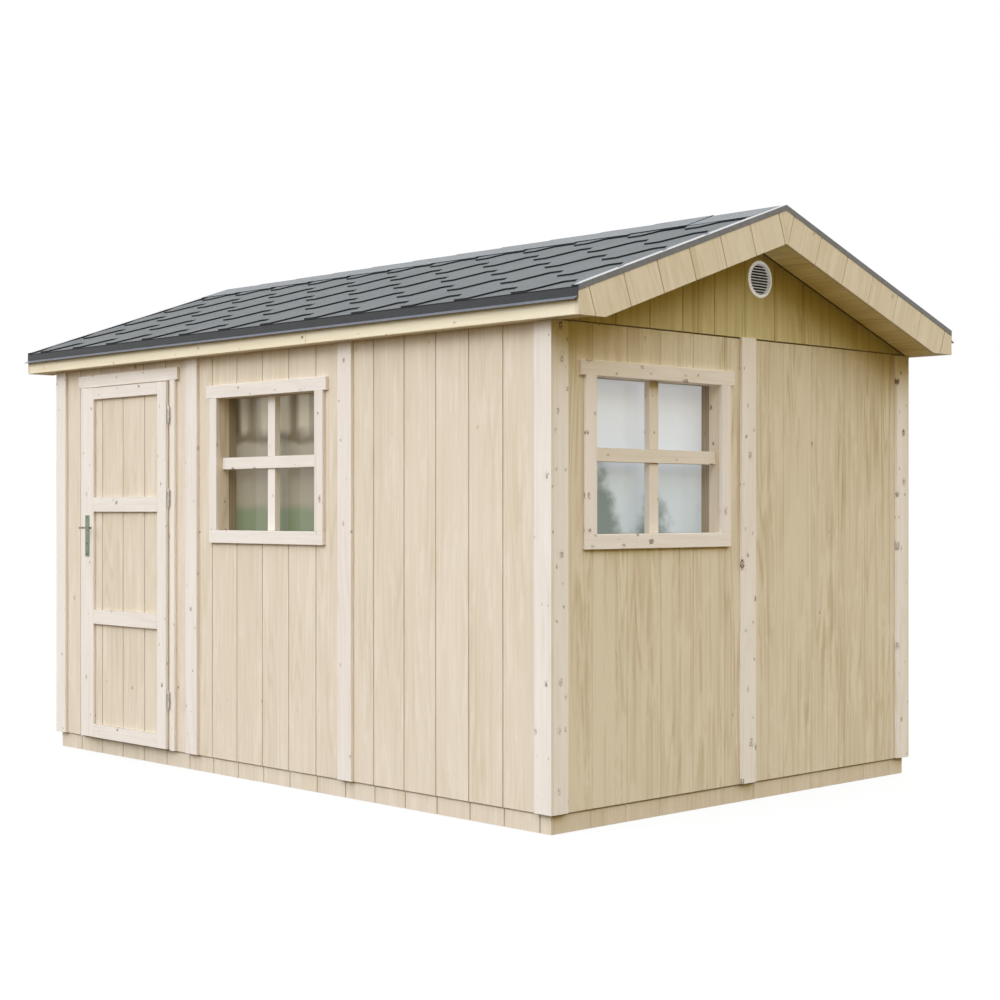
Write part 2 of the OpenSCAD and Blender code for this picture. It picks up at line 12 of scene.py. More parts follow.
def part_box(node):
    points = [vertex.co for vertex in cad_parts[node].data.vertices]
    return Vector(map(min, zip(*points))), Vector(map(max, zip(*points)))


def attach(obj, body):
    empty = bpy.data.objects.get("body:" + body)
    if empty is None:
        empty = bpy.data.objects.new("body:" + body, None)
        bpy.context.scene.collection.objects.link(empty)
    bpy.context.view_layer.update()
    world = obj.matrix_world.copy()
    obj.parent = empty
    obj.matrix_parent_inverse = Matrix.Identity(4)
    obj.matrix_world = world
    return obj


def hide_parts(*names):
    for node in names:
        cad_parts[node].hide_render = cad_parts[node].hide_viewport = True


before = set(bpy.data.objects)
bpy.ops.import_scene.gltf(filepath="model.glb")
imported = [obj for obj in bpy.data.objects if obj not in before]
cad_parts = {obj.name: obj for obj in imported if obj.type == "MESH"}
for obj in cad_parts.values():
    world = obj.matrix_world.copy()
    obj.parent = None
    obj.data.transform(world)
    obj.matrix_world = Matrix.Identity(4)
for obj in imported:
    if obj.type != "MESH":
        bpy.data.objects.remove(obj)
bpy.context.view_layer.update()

# The view: a camera at eye level off the front right corner. It looks level and its lens is
# shifted a little, so that the plumb edges of the shed stay plumb in the picture.
camera = bpy.data.objects.new("camera", bpy.data.cameras.new("camera"))
camera.data.lens = 64.66
camera.data.shift_x = -0.0493
camera.data.shift_y = 0.0104
camera.location = (6.809, -6.062, 1.2575)
camera.rotation_euler = (math.radians(90), 0, math.radians(45.45))
bpy.context.scene.collection.objects.link(camera)
bpy.context.scene.camera = camera

# Floor bearers: five lengths of sawn softwood that lie on the ground and carry the floor.
# They stay bare, with saw marks, and their arrises are slightly worn.
X, Y, Z = Vector((1, 0, 0)), Vector((0, 1, 0)), Vector((0, 0, 1))
BOARD_STEP = 10.0
ARRIS = 0.002
LOOKS_UP = 0.7
# The colour that groove floors darken to: part dirt in the joints, part painted shade.
GROOVE_DIRT_AND_SHADE = (70, 52, 24)
board_numbers = itertools.count(1)


class Shade:
    """A socket of a material's nodes. Arithmetic on it adds Math nodes, node() adds any other."""

    def __init__(self, tree, socket=None):
        self.tree = tree
        self.socket = socket

    def node(self, kind, settings=None, sockets=None, output=0):
        made = self.tree.nodes.new(kind)
        for name, value in (settings or {}).items():
            if name == "stops":
                made.color_ramp.elements[0].position, made.color_ramp.elements[0].color = value[0]
                made.color_ramp.elements[1].position, made.color_ramp.elements[1].color = value[-1]
                for place, colour in value[1:-1]:
                    made.color_ramp.elements.new(place).color = colour
            else:
                setattr(made, name, value)
        for key, value in (sockets or {}).items():
            if isinstance(value, Shade):
                self.tree.links.new(value.socket, made.inputs[key])
            else:
                made.inputs[key].default_value = value
        return Shade(self.tree, made.outputs[output])

    def maths(self, operation, *values):
        return self.node("ShaderNodeMath", {"operation": operation}, dict(enumerate(values)))

    def __add__(self, other):
        return self.maths("ADD", self, other)

    def __sub__(self, other):
        return self.maths("SUBTRACT", self, other)

    def __rsub__(self, other):
        return self.maths("SUBTRACT", other, self)

    def __mul__(self, other):
        return self.maths("MULTIPLY", self, other)

    def __truediv__(self, other):
        return self.maths("DIVIDE", self, other)

    def __pow__(self, other):
        return self.maths("POWER", self, other)

    def __abs__(self):
        return self.maths("ABSOLUTE", self)

    def __floor__(self):
        return self.maths("FLOOR", self)

    __radd__ = __add__

    def wave(self):
        return self.maths("SINE", self) * 0.5 + 0.5

    def step(self, low, high):
        """Rises smoothly from 0 at low to 1 at high, or falls where low is the greater."""
        return self.node(
            "ShaderNodeMapRange",
            {"interpolation_type": "SMOOTHSTEP"},
            {"Value": self, "From Min": low, "From Max": high},
        )

    def parts(self):
        split = self.node("ShaderNodeSeparateXYZ", {}, {0: self})
        return [Shade(self.tree, s) for s in split.socket.node.outputs]

    def vector(self, x, y, z):
        return self.node("ShaderNodeCombineXYZ", {}, {0: x, 1: y, 2: z})

    def noise(self, x, y, z, detail=2.0, roughness=0.5):
        place = self.vector(x, y, z)
        return self.node(
            "ShaderNodeTexNoise",
            {},
            {"Vector": place, "Scale": 1.0, "Detail": detail, "Roughness": roughness},
        )

    def mix(self, amount, one, other):
        return self.node(
            "ShaderNodeMix", {"data_type": "RGBA"}, {0: amount, 6: one, 7: other}, output=2
        )

    def attribute(self, name, output):
        return self.node("ShaderNodeAttribute", {"attribute_name": name}, output=output)

    def place(self):
        return self.node("ShaderNodeTexCoord", output=3).parts()

    def bump(self, height, strength, distance):
        return self.node(
            "ShaderNodeBump", {}, {"Height": height, "Strength": strength, "Distance": distance}
        )


def rgb(red, green, blue):
    """A colour written in screen values of 0 to 255, as a socket takes it."""
    def linear(value):
        share = value / 255
        return share / 12.92 if share <= 0.04045 else ((share + 0.055) / 1.055) ** 2.4

    return (linear(red), linear(green), linear(blue), 1.0)


def new_finish(name, **constants):
    """A material, its shader and a Shade to write its nodes with. Constants sit on the shader."""
    material = bpy.data.materials.new(name)
    material.use_nodes = True
    tree = material.node_tree
    shader = tree.nodes["Principled BSDF"]
    for socket, value in constants.items():
        shader.inputs[socket.replace("_", " ")].default_value = value
    return material, shader, Shade(tree)


def dress(shader, shade, **sockets):
    """Links values that vary over the surface to the shader."""
    for socket, value in sockets.items():
        shade.tree.links.new(value.socket, shader.inputs[socket.replace("_", " ")])


def timber(name, pale, deep, knot, figure=0.5, fibre=0.35, bloom=0.0, knots=(0.34, 0.075, 0.3),
           knot_size=0.011, tone_range=0.12, stripe=0.1, rough=0.62):
    """Softwood whose grain follows the board: rings, fibres, dark stripes, pale bloom, cracked
    knots that the rings flow round, and a tone of its own for every board. Grooves darken to their
    floor, part dirt and part painted shade, and the same mark paints shadow lines and shade on
    level tops. knots gives the pitch of the knots along and across the board and the share that
    show."""
    material, shader, s = new_finish(name, Specular_IOR_Level=0.12)
    along, across, into = s.attribute("grain", 1).parts()
    board = math.floor(along / BOARD_STEP + 0.5)
    tone = s.node("ShaderNodeTexWhiteNoise", {"noise_dimensions": "1D"}, {"W": board})
    side = across + into

    # One knot may lie in each cell: its core, the halo round it, hair cracks and a broken rim.
    pitch_along, pitch_across, share = knots
    cell = s.node(
        "ShaderNodeTexVoronoi",
        {"voronoi_dimensions": "2D"},
        {"Vector": s.vector(along / pitch_along, side / pitch_across, 0.0), "Scale": 1.0},
        output=2,
    )
    centre = cell.parts()
    lot = Shade(s.tree, cell.socket.node.outputs[1]).parts()
    wobble = s.noise(along * 110, side * 110, tone * 9, detail=2.0) - 0.5
    reach = s.maths(
        "SQRT",
        ((along - centre[0] * pitch_along) / 1.5) ** 2 + (side - centre[1] * pitch_across) ** 2,
    ) + wobble * knot_size * 1.3
    reach = reach / (lot[1] ** 2 * knot_size * 0.7 + knot_size * 0.3)
    present = lot[0].step(1 - share, 1.001 - share)
    core = reach.step(1.0, 0.5) * present
    halo = reach.step(3.4, 0.8) * present
    hair = abs(s.noise(along * 40, side * 75, tone * 3, detail=1.0) - 0.5).step(0.035, 0.01)
    crack = hair * reach.step(2.4, 1.2) * present
    bow = s.noise(along * 38, side * 38, tone * 5, detail=1.0).step(0.44, 0.56)
    rim = reach.step(0.55, 0.85) * reach.step(1.45, 1.1) * bow * present

    # The grain, in waves a metre: few along the board and many across it.
    swirl = s.noise(along * 0.55, across * 7 + tone * 40, into * 7, detail=2.0, roughness=0.45)
    rings = ((swirl + halo * 0.06) * 75).wave() ** 2.2
    streak = s.noise(along * 2.2, across * 95, into * 95 + tone * 7, detail=2.0)
    fine = s.noise(along * 9, across * 420, into * 420, detail=1.0)
    cloud = s.noise(along * 1.3, across * 6, into * 6 + tone * 5, detail=1.0)
    flake = s.noise(along * 3.2, across * 17, into * 17 + tone * 3, detail=5.0, roughness=0.68)
    stripes = s.noise(along * 0.25, across * 24 + tone * 11, into * 24, detail=4.0, roughness=0.65)

    # How deep the colour is from place to place, then the knots and the grooves over it.
    dark = rings * figure * cloud.step(0.3, 0.75)
    dark = dark + (streak - 0.5) * fibre * 1.6 + (fine - 0.5) * fibre * 0.7
    dark = dark + (tone - 0.5) * tone_range + (cloud - 0.5) * 0.25 + halo * 0.2 + 0.2
    dark = dark - flake.step(0.5, 0.64) * bloom + (stripes.step(0.46, 0.66) - 0.3) * stripe
    colour = s.mix(s.maths("MINIMUM", s.maths("MAXIMUM", dark, 0.0), 1.0), rgb(*pale), rgb(*deep))
    edges = s.maths("MAXIMUM", crack * 0.8, rim * 0.9)
    stain = s.maths("MAXIMUM", core * (0.5 + wobble * 2.2), edges)
    stain = stain * (lot[2] * 0.7 + 0.4)
    colour = s.mix(s.maths("MINIMUM", stain, 1.0), colour, rgb(*knot))
    # The groove mark: dirt and painted shade in grooves, painted shadow lines, painted shade on
    # tops.
    colour = s.mix(s.attribute("groove", 2) * 0.9, colour, rgb(*GROOVE_DIRT_AND_SHADE))
    height = fine * 0.4 + streak * 0.6 + rings * 0.5 - core * 0.8 - crack * 0.6
    dress(
        shader, s, Base_Color=colour, Roughness=fine * 0.12 + (rough - 0.06) + core * -0.15,
        Normal=s.bump(height, 0.35, 0.0006),
    )
    return material


def node_copy(name):
    """A CAD node's shape as a clean bmesh: its triangles merged and each flat face made whole."""
    bm = bmesh.new()
    bm.from_mesh(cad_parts[name].data)
    bm.loops.layers.float_vector.new("grain")
    bm.verts.layers.float.new("groove")
    bmesh.ops.remove_doubles(bm, verts=bm.verts, dist=2e-5)
    bmesh.ops.dissolve_limit(bm, angle_limit=math.radians(1), verts=bm.verts, edges=bm.edges)
    return bm


def soften(bm, width, turn=math.radians(30)):
    """Eases the sharp arrises of every solid in the bmesh."""
    sharp = [e for e in bm.edges if e.is_manifold and e.calc_face_angle() > turn]
    bmesh.ops.bevel(
        bm, geom=sharp, offset=width, affect="EDGES", segments=2, profile=0.5, material=-1,
        clamp_overlap=True,
    )


def loose_parts(bm):
    """The separate boards of a bmesh, each as a list of its faces."""
    for face in bm.faces:
        face.tag = False
    parts = []
    for first in bm.faces:
        if first.tag:
            continue
        first.tag = True
        part = [first]
        for face in part:
            beyond = [other for edge in face.edges for other in edge.link_faces if not other.tag]
            for other in beyond:
                if not other.tag:
                    other.tag = True
                    part.append(other)
        parts.append(part)
    return parts


def lay_grain(bm, faces, along, across, number):
    """Writes each corner's place in its board: along the grain, across the board and into it."""
    layer = bm.loops.layers.float_vector["grain"]
    into = along.cross(across)
    for face in faces:
        for loop in face.loops:
            at = loop.vert.co
            loop[layer] = (at.dot(along) + BOARD_STEP * number, at.dot(across), at.dot(into))


def longest_ways(faces):
    """The axes along which a board is longest and second longest."""
    corners = [v.co for face in faces for v in face.verts]
    spans = [(max(c[i] for c in corners) - min(c[i] for c in corners), i) for i in range(3)]
    order = [i for _, i in sorted(spans, reverse=True)]
    return (X, Y, Z)[order[0]], (X, Y, Z)[order[1]]


def make_piece(bm, name, materials, stands_for=(), body="shed"):
    """The bmesh as an object that rides on a body and stands for the CAD nodes it was made from."""
    mesh = bpy.data.meshes.new(name)
    bm.to_mesh(mesh)
    bm.free()
    for material in materials:
        mesh.materials.append(material)
    made = bpy.data.objects.new(name, mesh)
    bpy.context.scene.collection.objects.link(made)
    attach(made, body)
    if stands_for:
        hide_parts(*stands_for)
    return made


def paint_top_shade(bm, top_shade):
    """Darkens the faces that lie level and look up, as painted shade."""
    mark = bm.verts.layers.float["groove"]
    for face in bm.faces:
        if face.normal.z > LOOKS_UP:
            for v in face.verts:
                v[mark] = top_shade


def boards(node, materials, arris=ARRIS, ways=longest_ways, body="shed", pick=None,
           top_shade=0.0):
    """A CAD node of plain boards, each with eased arrises and its own length of grain. Where there
    are two materials, pick says whether a board's middle calls for the second."""
    bm = node_copy(node)
    soften(bm, arris)
    paint_top_shade(bm, top_shade)
    for part in loose_parts(bm):
        lay_grain(bm, part, *ways(part), next(board_numbers))
        if pick and pick(sum((f.calc_center_median() for f in part), Vector()) / len(part)):
            for face in part:
                face.material_index = 1
    return make_piece(bm, f"{node}_boards", materials, [node], body)


sawn = timber(
    "sawn_softwood", pale=(214, 184, 138), deep=(168, 128, 82), knot=(92, 60, 38), fibre=0.6,
    knots=(0.34, 0.075, 0.35), knot_size=0.014, rough=0.75,
)
boards("floor_bearers", [sawn], arris=0.003)

# Floor deck: planed softwood boards, tongued together and nailed across the bearers. Each joint
# shows as a fine groove that runs from the door wall to the rear wall.
FLOOR_BOARD = 0.12
EDGE_SHARE = 0.06
SNAP = 1e-6
ON_CUT = 2e-5
ON_FACE = 5e-4


def groove(bm, across, places, outward, face, width=0.007, floor=0.0018, depth=0.006, dark=0.62,
           within=None):
    """Cuts grooves into a flat face at the given places: two slanting sides and a narrow floor.
    The floor is marked to darken, part dirt in the joint and part painted shade, and some come out
    a little darker than others."""
    mark = bm.verts.layers.float["groove"]
    for place in places:
        for cut in (-width / 2, -floor / 2, floor / 2, width / 2):
            verts = [v for v in bm.verts if within is None or within(v.co)]
            chosen = set(verts)
            edges = [e for e in bm.edges if chosen.issuperset(e.verts)]
            faces = [f for f in bm.faces if chosen.issuperset(f.verts)]
            bmesh.ops.bisect_plane(
                bm, geom=verts + edges + faces, dist=SNAP, plane_co=across * (place + cut),
                plane_no=across,
            )
        for v in bm.verts:
            inside = within is None or within(v.co)
            on_floor = abs(v.co.dot(across) - place) < floor / 2 + ON_CUT
            if inside and on_floor and abs(v.co.dot(outward) - face) < ON_FACE:
                v.co -= outward * depth
                v[mark] = dark * (0.8 + 0.2 * math.sin(place * 61))


def places_between(low, high, start, pitch):
    """Every start + k * pitch that lies clear inside low and high."""
    first = math.ceil((low - start) / pitch + EDGE_SHARE)
    last = math.floor((high - start) / pitch - EDGE_SHARE)
    return [start + k * pitch for k in range(first, last + 1)]


def number_boards(bm, along, across, start, pitch):
    """Gives the faces between two grooves the grain of one board."""
    numbers = {}
    for face in bm.faces:
        slot = math.floor((face.calc_center_median().dot(across) - start) / pitch)
        if slot not in numbers:
            numbers[slot] = next(board_numbers)
        lay_grain(bm, [face], along, across, numbers[slot])


deck = node_copy("floor_deck")
deck_low, deck_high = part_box("floor_deck")
groove(
    deck, X, places_between(deck_low.x, deck_high.x, deck_low.x, FLOOR_BOARD), Z, deck_high.z,
    width=0.004, floor=0.001, depth=0.004,
)
number_boards(deck, Y, X, deck_low.x, FLOOR_BOARD)
planed = timber(
    "planed_floor", pale=(222, 194, 150), deep=(180, 140, 94), knot=(96, 62, 40),
    knots=(0.34, 0.075, 0.4), knot_size=0.012, tone_range=0.3,
)
make_piece(deck, "floor_boards", [planed], ["floor_deck"])

# Siding: panels of veneered board with machined grooves that make them look like planks. They are
# stained a pale tan, and the panels of all four walls and of the skirt share one groove pitch.
GROOVE_PITCH = 0.2032
GABLE_OFFSET = 0.22
CORNER_CLEAR = 0.02
# Gable grooves are marked fainter, with less painted shade than those of the long walls.
FAINT = {"width": 0.005, "floor": 0.0014, "depth": 0.0025, "dark": 0.22}
SEAM_SHADOW = {"width": 0.006, "floor": 0.003, "dark": 0.85}
SEAM_DROP = 0.003
FOOT_SHADOW_LINE = {"width": 0.007, "floor": 0.004, "depth": 0.003}
FOOT_DROP = 0.004
GABLE_FOOT_SHADOW = 0.9
LONG_FOOT_SHADOW = 0.5
SKIRT_NUMBERS = 200
SKIRT_STEP = 31
STREAKED = {
    "knot": (140, 114, 78), "figure": 0.45, "fibre": 0.36, "bloom": 0.35, "knots": (0.4, 0.1, 0.12),
    "knot_size": 0.006, "tone_range": 0.1, "stripe": 0.3,
}
base_low, base_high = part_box("base_skirts")
FRONT_START = base_low.x
GABLE_START = base_low.y + GABLE_OFFSET

siding = timber(
    "stained_siding", pale=(235, 222, 203), deep=(203, 184, 151), knot=(150, 124, 88), figure=0.24,
    fibre=0.3, bloom=0.2, knots=(0.4, 0.1, 0.12), knot_size=0.006, tone_range=0.08, stripe=0.06,
)
streaked = timber("streaked_siding", pale=(237, 226, 206), deep=(198, 179, 142), **STREAKED)


def wall(node, across, outward, start, name, seam_shadow=False, **cut):
    """A siding panel with a groove on every pitch of its outer face and maybe a dark one along its
    top, a painted shadow under the gable panel's edge.
    """
    bm = node_copy(node)
    low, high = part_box(node)
    face = max(low.dot(outward), high.dot(outward))
    places = places_between(low.dot(across), high.dot(across), start, GROOVE_PITCH)
    groove(bm, across, places, outward, face, **cut)
    if seam_shadow:
        # A painted shadow line under the lower edge of the gable panel.
        groove(bm, Z, [high.z - SEAM_DROP], outward, face, **SEAM_SHADOW)
    number_boards(bm, Z, across, start, GROOVE_PITCH)
    return make_piece(bm, name, [streaked if across == Y else siding], [node])


skirts = node_copy("base_skirts")
long_places = places_between(base_low.x, base_high.x, FRONT_START, GROOVE_PITCH)
gable_places = places_between(
    base_low.y + CORNER_CLEAR, base_high.y - CORNER_CLEAR, GABLE_START, GROOVE_PITCH
)
for outward in (-Y, Y):
    groove(skirts, X, long_places, outward, base_high.y)
for outward in (-X, X):
    groove(skirts, Y, gable_places, outward, base_high.x, **FAINT)
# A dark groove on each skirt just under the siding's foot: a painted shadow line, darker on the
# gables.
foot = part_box("right_wall")[0].z
for outward in (-X, X, -Y, Y):
    face = base_high.x if abs(outward.x) else base_high.y
    dark = GABLE_FOOT_SHADOW if abs(outward.x) else LONG_FOOT_SHADOW
    groove(skirts, Z, [foot - FOOT_DROP], outward, face, dark=dark, **FOOT_SHADOW_LINE)
for part in loose_parts(skirts):
    across, _ = longest_ways(part)
    start = FRONT_START if across == X else GABLE_START
    for face in part:
        slot = math.floor((face.calc_center_median().dot(across) - start) / GROOVE_PITCH)
        number = SKIRT_NUMBERS + SKIRT_STEP * slot + (across == X)
        lay_grain(skirts, [face], Z, across, number)
make_piece(skirts, "skirt_panels", [siding], ["base_skirts"])

wall("front_wall_left", X, -Y, FRONT_START, "front_siding_left")
wall("front_wall_over_door", X, -Y, FRONT_START, "front_siding_over_door")
wall("front_wall_right", X, -Y, FRONT_START, "front_siding_right")
wall("door_threshold", X, -Y, FRONT_START, "threshold_siding")
wall("rear_wall", X, Y, FRONT_START, "rear_siding")
wall("left_wall", Y, -X, GABLE_START, "left_siding", seam_shadow=True, **FAINT)
wall("right_wall", Y, X, GABLE_START, "right_siding", seam_shadow=True, **FAINT)

# Gable panels: the same siding, laid over the wall below, so that its lower edge throws a level
# shadow line, which the wall below also has painted as a dark groove. The panel's colour is a
# deeper, yellower copy of the siding as painted shade under the overhang. The panel's hole holds
# a vent.
GABLE_TOP_START = -1.0335
gable = node_copy("gable_tops")
gable_low, gable_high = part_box("gable_tops")
gable_top_places = places_between(gable_low.y, gable_high.y, GABLE_TOP_START, GROOVE_PITCH)
# A deeper, yellower copy of the streaked siding: painted shade under the overhang.
shaded_gable_siding = timber("gable_siding_painted_shade", pale=(221, 209, 164), deep=(184, 164, 111), **STREAKED)
for outward in (-X, X):
    groove(gable, Y, gable_top_places, outward, gable_high.x, depth=0.004, dark=0.45)
number_boards(gable, Z, Y, GABLE_TOP_START, GROOVE_PITCH)
make_piece(gable, "gable_panels", [shaded_gable_siding], ["gable_tops"])

# Wall frame: sawn studs nailed between a floor plate and a wall plate. It shows from inside and
# through the open door.
boards("wall_plates", [sawn])
boards("wall_studs", [sawn])

# Trim: planed spruce boards, whitewashed so that the small knots still show. They cover the corners
# and the panel joints of each wall, and the boards on the gables are the knottier ones, in a paler
# wash as painted light against the dimmer light on the gables.
WASHED = {
    "knot": (92, 66, 50), "figure": 0.25, "fibre": 0.34, "bloom": 0.1, "knots": (0.2, 0.06, 0.6),
    "knot_size": 0.006, "tone_range": 0.14,
}
whitewash = timber("whitewashed_spruce", pale=(245, 237, 229), deep=(222, 208, 191), **WASHED)
knotty_painted_light = timber(
    "gable_spruce_painted_light", pale=(253, 247, 245), deep=(237, 226, 216), knot=(84, 58, 40), figure=0.35,
    fibre=0.45, bloom=0.15, knots=(0.14, 0.055, 0.7), knot_size=0.0095, tone_range=0.14, stripe=0.2,
)
for trim in ("front_trim", "rear_trim"):
    boards(trim, [whitewash])
for trim in ("left_trim", "right_trim"):
    boards(trim, [knotty_painted_light])

# Window casings: whitewashed boards planted round each opening, with the head board running past
# the sides. Those on the gable are of the knottier spruce, its paler wash painted light.
GABLE_FROM = 1.0


def on_gable(middle):
    return middle.x > GABLE_FROM


for casing in ("window_heads", "window_sides", "window_sills"):
    boards(casing, [whitewash, knotty_painted_light], pick=on_gable)

# Window linings: boards that line the thickness of the wall, with a darker glazing frame behind
# them, its darkness painted shade deep in the recess. The grain of each ring turns at its
# corners, and the faces that lie level are darkened as painted shade.
# How far the faces that look up are darkened, as painted shade.
LEDGE_SHADE = 0.5
LINING_ARRIS = 0.0015


def ring(node, material):
    """A CAD node of frames round openings. Grain runs up the sides and along head and sill."""
    bm = node_copy(node)
    soften(bm, LINING_ARRIS)
    paint_top_shade(bm, LEDGE_SHADE)
    for part in loose_parts(bm):
        corners = [v.co for f in part for v in f.verts]
        low = Vector([min(c[i] for c in corners) for i in range(3)])
        high = Vector([max(c[i] for c in corners) for i in range(3)])
        level = X if high.x - low.x > high.y - low.y else Y
        middle = (low + high) / 2
        half_w = (high - low).dot(level) / 2
        half_h = (high.z - low.z) / 2
        number = next(board_numbers)
        for face in part:
            offset = face.calc_center_median() - middle
            upright = abs(offset.dot(level)) - half_w > abs(offset.z) - half_h
            if upright:
                lay_grain(bm, [face], Z, level, number)
            else:
                lay_grain(bm, [face], level, Z, number + 0.5)
    return make_piece(bm, f"{node}_lining", [material], [node])


lining = timber(
    "window_lining", pale=(243, 230, 212), deep=(214, 196, 170), knot=(92, 66, 50),
    knots=(0.2, 0.06, 0.6), knot_size=0.008,
)
ring("window_liners", lining)
# A darker copy of the lining for the glazing frame: painted shade deep in the recess.
glazing_painted_shade = timber(
    "glazing_frame", pale=(184, 168, 146), deep=(142, 124, 102), knot=(80, 62, 48),
    knots=(0.16, 0.06, 0.4), knot_size=0.008,
)
ring("window_frames", glazing_painted_shade)


# Glass: one sheet a window, seated in the rebate of the glazing frame. Its face carries a painted
# reflection that gives off a little light: a soft picture of bright sky on the gable and of a
# shaded yard on the front.
def pane(name, picture):
    """Glass whose colour is a painted reflection, a soft picture that also gives off a little
    light.
    """
    material, shader, s = new_finish(name, Roughness=0.05, Alpha=0.92, Emission_Strength=0.5)
    colour = picture(s, *s.place())
    dress(shader, s, Base_Color=colour, Emission_Color=colour)
    return material


def yard_painted_reflection(s, x, y, z):
    """A painted reflection of a yard: level bands, green low down, under upright streaks of light
    and shade.
    """
    uneven = s.noise(x * 14, z * 0.8, 0.0, detail=2.0)
    soft = s.noise(x * 6, z * 8, 3.0, detail=1.0)
    streak = (x * 41 + math.pi / 2).wave() * 0.6 + (uneven - 0.5) * 1.2 + x * 0.7 + 0.38
    shade = z + soft * 0.1
    streaks = s.mix(streak.step(0.0, 1.0), rgb(84, 75, 58), rgb(160, 151, 131))
    dim = s.mix(shade.step(1.60, 1.64), rgb(134, 127, 110), rgb(98, 90, 72))
    upper = s.mix(shade.step(1.64, 1.70), dim, streaks)
    return s.mix((z + soft * 0.03).step(1.255, 1.32), rgb(105, 114, 88), upper)


def sky_painted_reflection(s, x, y, z):
    """A painted reflection of pale cloud over the soft shapes of trees, of which each pair of panes
    holds one.
    """
    cloud = s.noise(y * 3.0, z * 3.0, 1.0, detail=2.0)
    shape = s.noise(y * 9.0, z * 9.0, 5.0, detail=4.0, roughness=0.6)
    crown = ((y + 0.81) * 19 + math.pi / 2).wave()
    sky = s.mix((z + cloud * 0.3).step(1.3, 1.9), rgb(174, 184, 190), rgb(203, 207, 213))
    low = (z + shape * 0.5 - crown * (0.08 - y * 0.235) + y * 0.2).step(1.36, 1.12)
    return s.mix(low, sky, rgb(106, 118, 114))


panes = node_copy("window_panes")
for face in panes.faces:
    face.material_index = 1 if on_gable(face.calc_center_median()) else 0
front_glass = pane("front_glass", yard_painted_reflection)
gable_glass = pane("gable_glass", sky_painted_reflection)
make_piece(panes, "window_glass", [front_glass, gable_glass], ["window_panes"])

# Window bars: a level bar that runs from liner to liner, and an upright bar housed behind it. They
# are planed square from the same whitewashed spruce.
BAR_WIDTH = 0.056
BAR_DEPTH = 0.030
LEVEL_BAR_BACK = 0.012
UPRIGHT_BAR_BACK = 0.020
BAR_HEIGHT = 1.480
OPENING_WIDTH = 0.764
GABLE_WINDOW = -0.565
opening_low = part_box("window_sills")[1].z
opening_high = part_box("window_heads")[0].z


def block(bm, x, y, z):
    """A plain block between the two limits given for each axis, added to the bmesh."""
    low, high = Vector((x[0], y[0], z[0])), Vector((x[1], y[1], z[1]))
    scale = Matrix.Diagonal((*(high - low), 1.0))
    bmesh.ops.create_cube(bm, size=1.0, matrix=Matrix.Translation((low + high) / 2) @ scale)


def window_bars(name, place):
    """Both bars of a window, drawn back from a wall face at y = 0 and then placed."""
    half = BAR_WIDTH / 2
    low, high = BAR_HEIGHT - half, BAR_HEIGHT + half
    front = (LEVEL_BAR_BACK, LEVEL_BAR_BACK + BAR_DEPTH)
    behind = (UPRIGHT_BAR_BACK, UPRIGHT_BAR_BACK + BAR_DEPTH)
    bars = bmesh.new()
    bars.loops.layers.float_vector.new("grain")
    bars.verts.layers.float.new("groove")
    block(bars, (-OPENING_WIDTH / 2, OPENING_WIDTH / 2), front, (low, high))
    block(bars, (-half, half), behind, (opening_low, low))
    block(bars, (-half, half), behind, (high, opening_high))
    block(bars, (-half, half), (front[1], behind[1]), (low, high))
    soften(bars, ARRIS)
    # The bars' level faces are darkened as painted shade.
    paint_top_shade(bars, LEDGE_SHADE)
    for part in loose_parts(bars):
        lay_grain(bars, part, *longest_ways(part), next(board_numbers))
    bmesh.ops.transform(bars, matrix=place, verts=bars.verts)
    return make_piece(bars, name, [whitewash])


turned = Matrix.Rotation(math.radians(90), 4, "Z")
window_bars("front_window_bars", Matrix.Translation((0.0, base_low.y, 0.0)))
window_bars("gable_window_bars", Matrix.Translation((base_high.x, GABLE_WINDOW, 0.0)) @ turned)

# Doorway: jambs that line the opening, side casings that cover their edges and a head board that
# runs past both. They are whitewashed spruce, nailed to the frame and the siding.
for doorway in ("door_jambs", "door_casings", "door_head_board"):
    boards(doorway, [whitewash])

# Door leaf: a grooved siding panel with whitewashed stiles and rails planted on its face. It hangs
# on the right and swings out.
DOOR_GROOVES = (-1.408, -1.209, -1.007)
panel = node_copy("door_panel")
panel_low, panel_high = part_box("door_panel")
groove(panel, X, DOOR_GROOVES, -Y, -panel_low.y)
groove(panel, X, DOOR_GROOVES, Y, panel_high.y)
number_boards(panel, Z, X, DOOR_GROOVES[0], DOOR_GROOVES[1] - DOOR_GROOVES[0])
make_piece(panel, "door_leaf_panel", [siding], ["door_panel"], "door")
boards("door_stiles", [whitewash], body="door")
# The rails' level tops are darkened as painted shade.
boards("door_rails", [whitewash], body="door", top_shade=LEDGE_SHADE)

# Hinges and lock: turned and pressed steel. Each hinge is a pin half screwed into the casing and a
# barrel half screwed into the leaf, and the lever pair turns on a spindle in two lock plates.
SMOOTH_TURN = math.radians(32)


def smooth_copy(node, name, material, body, arris=0.0006):
    """A CAD node of round metal or plastic with eased edges and smooth curves."""
    bm = node_copy(node)
    soften(bm, arris)
    for face in bm.faces:
        face.smooth = True
    for edge in bm.edges:
        edge.smooth = not edge.is_manifold or edge.calc_face_angle() < SMOOTH_TURN
    return make_piece(bm, name, [material], [node], body)


